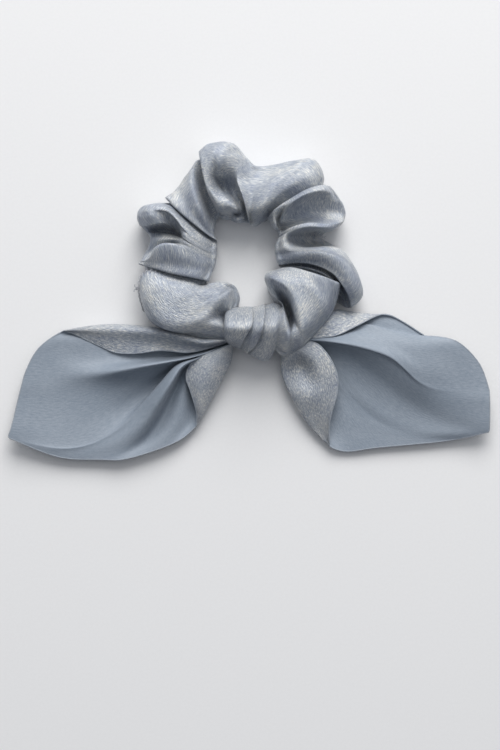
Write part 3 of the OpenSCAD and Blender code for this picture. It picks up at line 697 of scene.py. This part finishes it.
RIGHT_TAIL = [
    [(13, -16, 8), (24, -15.2, 9), (30.4, -14.5, 9.5), (35.4, -13.9, 10), (39.1, -12.6, 10.2), (43.5, -10.4, 10.2),
     (47.9, -8.2, 9.8), (52.9, -5.7, 8.8), (56.6, -4.8, 8), (60, -5.6, 7.2), (64.1, -7.7, 6.6), (69.1, -10.8, 6.2),
     (73, -13.4, 6)],
    [(13, -15, 9), (24, -11, 9.5), (31, -9, 9.5), (38, -7.8, 9), (44, -7, 9), (50, -6, 9), (55, -5.1, 8.4),
     (60, -5.8, 7.4), (66, -8.9, 6.2), (73.1, -13.5, 5.8)],
    [(13, -14, 8), (26, -6.6, 8), (36, -2.6, 6.5), (41.6, -3.3, 6), (48, -4.2, 6.6), (52.9, -4.9, 6.9),
     (56.8, -4.9, 6.8), (60.3, -6, 6.4), (65.3, -8.8, 5.8), (69.9, -11.8, 5.4), (73.3, -13.7, 5.2)],
    [(13, -14.5, 4), (26, -8.5, 2.4), (36, -5, 3), (45, -6.2, 5), (52, -6.8, 6.9), (57.4, -7.6, 7.2),
     (63, -9.6, 6.6), (68.6, -12, 5.9), (73.6, -13.8, 5.2)],
    [(13, -15, 4.4), (26, -10.6, 3), (36, -7.8, 3.8), (44.6, -7.8, 5.2), (51, -8.3, 6.9), (57.2, -9.8, 7.3),
     (63, -11.2, 6.7), (68.4, -12.8, 5.9), (74, -13.8, 5.2)],
    ("edge", 1, [(13, -15.6, 5), (26, -13.2, 5), (36, -11, 5.6), (43, -9.4, 6.6), (48.2, -8.8, 7.8),
     (52.5, -9.6, 8.5), (58, -11.4, 8.8), (63.4, -12.5, 8.4), (68.2, -13.3, 7.6), (74.6, -14, 6.2)], [(0, 0),
     (0.45, 0), (0.6, 1), (0.9, 1), (1, 0.2)]),
    [(13, -16, 8), (26, -15, 8.6), (36, -14.4, 9.6), (46, -13.8, 10.6), (56, -15.4, 11.2), (66, -17.4, 10.8),
     (77, -17.4, 9.4), (86.5, -16, 8.4)],
    [(13, -16.4, 8.5), (26, -15.6, 9.8), (36, -16, 11.2), (46, -17, 12.6), (56, -19.4, 13.2), (64, -23.6, 12.6),
     (72, -27.5, 10.8), (84, -26, 8.6), (96.7, -26.2, 7.8)],
    ("edge", -1, [(13, -16.8, 8), (26, -16, 9), (36.6, -17, 11.2), (44.1, -18.4, 12.8), (51.6, -20.4, 13.6),
     (59.7, -23.6, 13.5), (65, -28, 12.2), (70.6, -33, 10.6), (80, -36.6, 8.6), (100.4, -36.8, 8)], [(0.1, 0),
     (0.25, 1), (0.5, 1), (0.7, 0)]),
    [(13, -16.9, 7.6), (26, -16.2, 8), (36.6, -17.6, 9), (44.1, -19.4, 10.6), (51.4, -21.8, 11.4),
     (59, -25.4, 11.2), (64.2, -29.6, 10.4), (69.8, -34.6, 9.4), (79, -38.8, 8), (100.5, -40, 8.4)],
    [(13, -17.1, 6.4), (26, -16.6, 6.6), (36.2, -18.4, 7.2), (43.4, -21, 8.4), (50.4, -24.2, 9), (57.6, -28.4, 8.8),
     (63, -32.8, 8.2), (69.2, -38, 7.2), (80, -42.6, 6.8), (100.6, -45.6, 8)],
    [(13, -17.3, 6), (25, -16.8, 5.8), (35, -19.8, 5.9), (43, -23.8, 6.2), (50.8, -29.2, 5.9), (59.2, -35.8, 5.3),
     (66.4, -41.2, 4.9), (78, -46.6, 5.2), (100.5, -51.6, 7.4)],
    [(13, -17.4, 6), (24, -17, 5.3), (34, -21, 4.9), (43, -26.8, 5), (52, -34.4, 4.7), (62, -41.8, 4.3),
     (76, -48.8, 4.4), (100.4, -53.8, 7)],
    [(13, -17.6, 6), (23.5, -17.4, 5), (33, -22.4, 4.3), (41, -29, 4.2), (49.4, -37.4, 4), (59, -45.8, 3.7),
     (73.6, -52.2, 3.9), (98.6, -54.4, 6.4)],
    [(13, -17.8, 6), (23, -17.6, 4.9), (32, -23.4, 3.9), (39, -31.4, 3.6), (46, -40.4, 3.4), (56, -49.4, 3.2),
     (70, -55.4, 3.5), (84.7, -57.5, 3.8)],
    [(13, -18.1, 6), (22, -18.5, 4.8), (30, -25, 3.5), (35, -34, 3), (39, -44, 2.8), (44, -53, 2.6), (53, -60.7, 3)],
    [(13, -18.4, 5.5), (20.5, -20, 4.4), (25, -27, 3.1), (27.5, -35, 2.6), (29.5, -44, 2.4), (32.5, -53, 2.3),
     (40, -62.2, 2.6)],
    [(12.4, -18.6, 7), (13.3, -22.5, 7), (13.5, -29.3, 6.5), (15.4, -35, 6), (18.5, -40.6, 5.5), (22.9, -48.1, 4.5),
     (27.3, -53.7, 3.8), (34, -60, 3.5)],
    [(13.2, -18.2, 10), (17, -22.6, 10.4), (18.4, -27, 6.6), (20, -32, 6.4), (22.6, -38, 8.6), (26, -46.6, 6.4),
     (29, -52.6, 4.6), (33.8, -59, 3.8)],
    [(13.6, -18, 10.6), (19.4, -21.4, 11), (22.4, -26.4, 5.8), (24.6, -32, 7), (26.4, -38.4, 9.2), (28.4, -46.2, 7),
     (30.6, -52.2, 5.2), (33.7, -58.8, 4)],
    [(14, -17.8, 11), (21.4, -20.2, 11.8), (27, -25.6, 11), (29.8, -32, 10.2), (30.8, -39, 9.4), (31.6, -46, 7.6),
     (32.3, -52, 6), (33.7, -58.4, 4.2)],
    [(15, -17, 10.6), (27.6, -16.8, 10.2), (31.6, -20.2, 10.6), (34.8, -25, 10.4), (36.8, -30.5, 9.8),
     (36.9, -36.8, 9.2), (36, -40.8, 9), (34.5, -46.2, 8), (33.6, -51.2, 6.5), (33.6, -57.4, 4.6)],
]
TAIL_COLUMNS = 24
TAIL_PITCH = 1.1
TAIL_EDGE = (0, 0.7, 1.3)
TAIL_THICKNESS = 0.36
# How far from its pivot a tail is divided into an inner and an outer piece.
SPLIT = 18.5
HEM_RADIUS = 0.28
HEM_UNEVENNESS = 0.08
HEM_POINTS = 620


def make_tail_grid(lines, seed, reverse):
    tops, _ = expand(lines, TAIL_COLUMNS, *TAIL_EDGE)
    net = np.array(tops[::-1] if reverse else tops)
    long = spline(net.swapaxes(0, 1), [4] * (TAIL_COLUMNS - 1)).swapaxes(0, 1)
    grid = spline(long, step_counts(net, TAIL_PITCH, False))
    grid = relax(grid, 1, False)
    grid = ripple(grid, 0.3, 26, 6, seed)
    grid[:, :, 2] = np.maximum(grid[:, :, 2], 0.6)
    return grid


def sheet_object(name, grid, keep, thick, materials):
    """A cloth sheet with two faces and a rim, from the cells of a grid that keep marks."""
    rows, columns = grid.shape[:2]
    normals = grid_normals(grid).reshape(-1, 3)
    points = grid.reshape(-1, 3)
    count = len(points)
    verts = np.vstack([points + normals * thick / 2, points - normals * thick / 2])
    cells = grid_faces(rows, columns)[keep.ravel()]
    back = cells[:, ::-1] + count
    edges = {}
    for cell in cells:
        for a, b in zip(cell, np.roll(cell, -1)):
            if edges.pop((b, a), None) is None:
                edges[(a, b)] = True
    rim = np.array([(b, a, a + count, b + count) for a, b in edges])
    faces = np.vstack([cells, back, rim])
    marks = [0] * len(cells) + [1] * len(back) + [0] * len(rim)
    used, inverse = np.unique(faces, return_inverse=True)
    uv = cloth_uv(grid)[:, ::-1]
    uv = np.vstack([uv, uv])
    obj = new_object(name, verts[used], inverse.reshape(faces.shape), uv[used], materials, marks)
    smooth = np.ones(len(faces), bool)
    smooth[len(cells) + len(back) :] = False
    obj.data.polygons.foreach_set("use_smooth", smooth)
    rim_faces = inverse.reshape(faces.shape)[~smooth]
    border = {
        tuple(sorted(pair)) for face in rim_faces for pair in zip(face, np.roll(face, -1))
    }
    for e in obj.data.edges:
        if tuple(sorted(e.vertices)) in border:
            e.use_edge_sharp = True
    obj.data.update()
    return obj


def tube_object(name, path, radius, sides, material, closed=False, squash=1.0):
    """A thread or cord along a path of points."""
    path = np.asarray(path, float)
    ahead = np.roll(path, -1, 0) - np.roll(path, 1, 0) if closed else np.gradient(path, axis=0)
    ahead /= np.maximum(np.linalg.norm(ahead, axis=1, keepdims=True), 1e-9)
    up = np.array([0, 0, 1.0])
    side = np.cross(ahead, up)
    side /= np.maximum(np.linalg.norm(side, axis=1, keepdims=True), 1e-6)
    top = np.cross(side, ahead)
    radii = np.broadcast_to(np.asarray(radius, float), (len(path),))[:, None]
    turn = np.arange(sides) / sides * 2 * math.pi
    rings = np.stack(
        [path + side * radii * math.cos(a) + top * radii * squash * math.sin(a) for a in turn], 1
    )
    along = np.concatenate([[0], np.cumsum(np.linalg.norm(np.diff(path, axis=0), axis=1))]) / 100
    n = len(path)
    faces = []
    for i in range(n if closed else n - 1):
        for k in range(sides):
            j, m = (i + 1) % n, (k + 1) % sides
            faces.append((i * sides + k, i * sides + m, j * sides + m, j * sides + k))
    if not closed:
        faces.append(tuple(range(sides))[::-1])
        faces.append(tuple((n - 1) * sides + k for k in range(sides)))
    uv = np.array([(along[i], k * 0.01) for i in range(n) for k in range(sides)])
    return new_object(name, rings.reshape(-1, 3), faces, uv, [material])


def make_tail(side, lines, reverse, pivot, direction, seed, cloth, hem):
    """Both pieces of a tail and of its hem, divided across the tail at SPLIT from the pivot."""
    grid = make_tail_grid(lines, seed, reverse)
    pivot = np.array(pivot, float)
    out = np.array([math.cos(math.radians(direction)), math.sin(math.radians(direction))])
    centres = (grid[:-1, :-1] + grid[1:, 1:]) / 2
    far = (centres[..., :2] - pivot) @ out > SPLIT
    inner = sheet_object(f"tail_{side}_inner_cloth", grid, ~far, TAIL_THICKNESS, cloth)
    outer = sheet_object(f"tail_{side}_outer_cloth", grid, far, TAIL_THICKNESS, cloth)
    edge = np.vstack([grid[0, :-1], grid[:-1, -1], grid[-1, ::-1]])
    edge = resample(edge, HEM_POINTS)
    reach = (edge[:, :2] - pivot) @ out
    jitter = np.array([noise.noise(Vector((i * 0.35, seed, 0))) for i in range(len(edge))])
    radii = HEM_RADIUS + HEM_UNEVENNESS * jitter
    inside = reach <= SPLIT
    first = int(np.argmax(~inside))
    last = len(inside) - 1 - int(np.argmax(~inside[::-1]))

    def hem_run(name, start, stop):
        return tube_object(name, edge[start:stop], radii[start:stop], 6, hem)

    runs = [(0, first + 1), (last, len(edge))]
    near = [hem_run("hem", start, stop) for start, stop in runs if stop - start > 3]
    hem_inner = join(f"hem_{side}_inner_thread", near)
    hem_outer = hem_run(f"hem_{side}_outer_thread", first, last + 1)
    pieces = {"inner": (inner, hem_inner), "outer": (outer, hem_outer)}

    def at(distance):
        return tuple(np.append(pivot + out * distance, 2.2) * MM)

    for obj in pieces["inner"]:
        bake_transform(obj)
    for obj in pieces["outer"]:
        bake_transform(obj)
    for part in ("inner", "outer"):
        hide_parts(f"tail_{side}_{part}")
        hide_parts(f"hem_{side}_{part}")
    return pieces



# The columns of the closing seam that lie on top, and where its thread knot sits.
SEAM_TOP = slice(3, 90)
BEAD_PLACE = (-45.5, 6.0)


def make_closing_seam(grid, material):
    """Small slanting stitches across the cover's two ends where they meet, and their knot."""
    normals = grid_normals(grid)
    if normals[0, SEAM_TOP, 2].mean() < 0:
        normals = -normals
    along = lengths(grid[:1], 1)
    stitches = []
    for at in np.arange(1.0, along[-1] - 1.2, 2.1):
        c = int(np.searchsorted(along, at))
        d = min(int(np.searchsorted(along, at + 0.8)), grid.shape[1] - 1)
        path = [
            grid[1, d] + normals[1, d] * 0.05,
            grid[0, c] + normals[0, c] * 0.55,
            grid[-2, c] + normals[-2, c] * 0.05,
        ]
        stitches.append(tube_object("stitch", resample(path, 7), 0.2, 6, material))
    seam = join("closing_seam_stitches", stitches)
    side = grid[0, SEAM_TOP]
    away = np.hypot(side[:, 0] - BEAD_PLACE[0], side[:, 1] - BEAD_PLACE[1])
    c = SEAM_TOP.start + int(np.argmin(away))
    place, out = grid[0, c], normals[0, c]
    turn = np.linspace(0, 1, 60)
    loops = np.stack(
        [np.sin(turn * 19) * 0.55, np.cos(turn * 23) * 0.55, np.sin(turn * 31) * 0.45], 1
    )
    ball = tube_object("ball", place + out * 0.75 + loops, 0.22, 6, material)
    ends = []
    for reach in ((-1.0, 1.6, 0.4), (-1.4, -1.4, -0.2)):
        tip = place + out * 0.8 + np.array(reach)
        bend = place + out * 1.4 + np.array(reach) * 0.5
        path = resample([place + out * 0.6, bend, tip], 9)
        ends.append(tube_object("end", path, 0.18, 6, material))
    bead = join("closing_thread_bead", [ball] + ends)
    for piece, node in ((seam, "closing_stitches"), (bead, "closing_thread_knot")):
        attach(piece, "ring_base")
        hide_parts(node)
    return seam, bead


def make_elastic_join(middle, material):
    """The zigzag that sews the ends of the elastic over each other, inside the cover."""
    low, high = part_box("elastic_join_stitches")
    centre = np.array((Vector(low) + Vector(high)) / 2) / MM
    start = int(np.argmin(np.linalg.norm(middle[:, :2] - centre[:2], axis=1)))
    run = np.array([middle[(start + k) % len(middle)] for k in range(-4, 5)])
    ahead = np.gradient(run, axis=0)
    ahead /= np.linalg.norm(ahead, axis=1, keepdims=True)
    side = np.cross(ahead, (0, 0, 1.0))
    swing = np.array([1 if k % 2 else -1 for k in range(len(run))])[:, None]
    path = run + side * swing * 1.7 + np.array([0, 0, 0.62])
    zigzag = tube_object("elastic_join_zigzag", resample(path, 80), 0.2, 6, material)
    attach(zigzag, "ring_base")
    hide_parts("elastic_join_stitches")
    return zigzag


def join(name, objects):
    for o in bpy.context.selected_objects:
        o.select_set(False)
    for o in objects:
        o.select_set(True)
    bpy.context.view_layer.objects.active = objects[0]
    if len(objects) > 1:
        bpy.ops.object.join()
    objects[0].name = name
    objects[0].data.name = name
    return objects[0]


# ---------------------------------------------------------------- build
make_camera()
make_lights()

# The cover and tie satins' pale warm light stops are painted highlight and their bluish dark stops painted shade,
# over the slub streaks' own tone.
front = satin(
    "cover_satin_cloth", (0.235, 0.27, 0.36), (0.39, 0.43, 0.485), (0.74, 0.735, 0.7),
    rough=0.4, metal=0.2, streak_depth=1.6, crease_depth=0.1, specular=0.8,
)
tie_front = satin(
    "tie_satin_cloth", (0.225, 0.26, 0.34), (0.38, 0.415, 0.46), (0.71, 0.705, 0.675),
    rough=0.41, metal=0.18, streak_depth=1.6, crease_depth=0.1, specular=0.8,
)
back = satin(
    "tie_wrong_side_cloth", (0.22, 0.265, 0.325), (0.26, 0.305, 0.365), (0.3, 0.345, 0.405),
    rough=0.52, metal=0.0, streak_depth=0.35, crease_depth=0.07, specular=0.45, spread=0.03,
)
hem = thread("hem_overlock", (0.26, 0.29, 0.33))
sewing = thread("sewing_thread_twist", (0.36, 0.37, 0.4), 0.45)
elastic = thread("elastic_braid", (0.62, 0.62, 0.6), 0.7)

cover_grid = make_cover()
cover = new_object(
    "ring_cover",
    cover_grid.reshape(-1, 3),
    grid_faces(*cover_grid.shape[:2])[:, ::-1],
    cloth_uv(cover_grid),
    [front],
)
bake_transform(cover)
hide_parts("cover_bottom", "cover_left", "cover_right", "cover_top")

middle = cover_grid[:-1].mean(axis=1)
middle = relax(np.repeat(middle[:, None], 3, 1), 30, True)[:, 1]
middle[:, 2] = 2.9
band = tube_object("elastic_ring", middle, 2.4, 8, elastic, closed=True, squash=0.2)
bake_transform(band)
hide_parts("elastic_bottom", "elastic_left", "elastic_right", "elastic_top")

seam_line = cover_grid[:-1, 0] + np.array([0, 0, 0.1])
strands = [tube_object("strand", seam_line, 0.3, 6, sewing, closed=True)]
for path in LOOSE_ENDS:
    strands.append(tube_object("strand", resample(path, 16), 0.14, 5, sewing))
seam = join("lengthwise_seam_thread", strands)
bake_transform(seam)
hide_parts("seam_thread_bottom", "seam_thread_left", "seam_thread_right", "seam_thread_top")

closing, bead = make_closing_seam(cover_grid, sewing)
zigzag = make_elastic_join(middle, sewing)

knot_grid = make_knot()
knot = new_object(
    "knot_wrap_cloth",
    knot_grid.reshape(-1, 3),
    grid_faces(*knot_grid.shape[:2])[:, ::-1],
    cloth_uv(knot_grid)[:, ::-1],
    [tie_front],
)
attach(knot, "ring_base")
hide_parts("knot_wrap", "knot_core")

tail_cloth = [tie_front, back]
left = make_tail("left", LEFT_TAIL, False, (-16, -16.5), 203, 1.7, tail_cloth, hem)
right = make_tail("right", RIGHT_TAIL, True, (19.6, -16.5), 340, 5.2, tail_cloth, hem)

FLOOR_HALF = 2500
floor = new_object(
    "floor",
    np.array([(-1, -1, 0), (1, -1, 0), (1, 1, 0), (-1, 1, 0)], float) * FLOOR_HALF,
    [(0, 1, 2, 3)],
    None,
    [floor_material()],
)
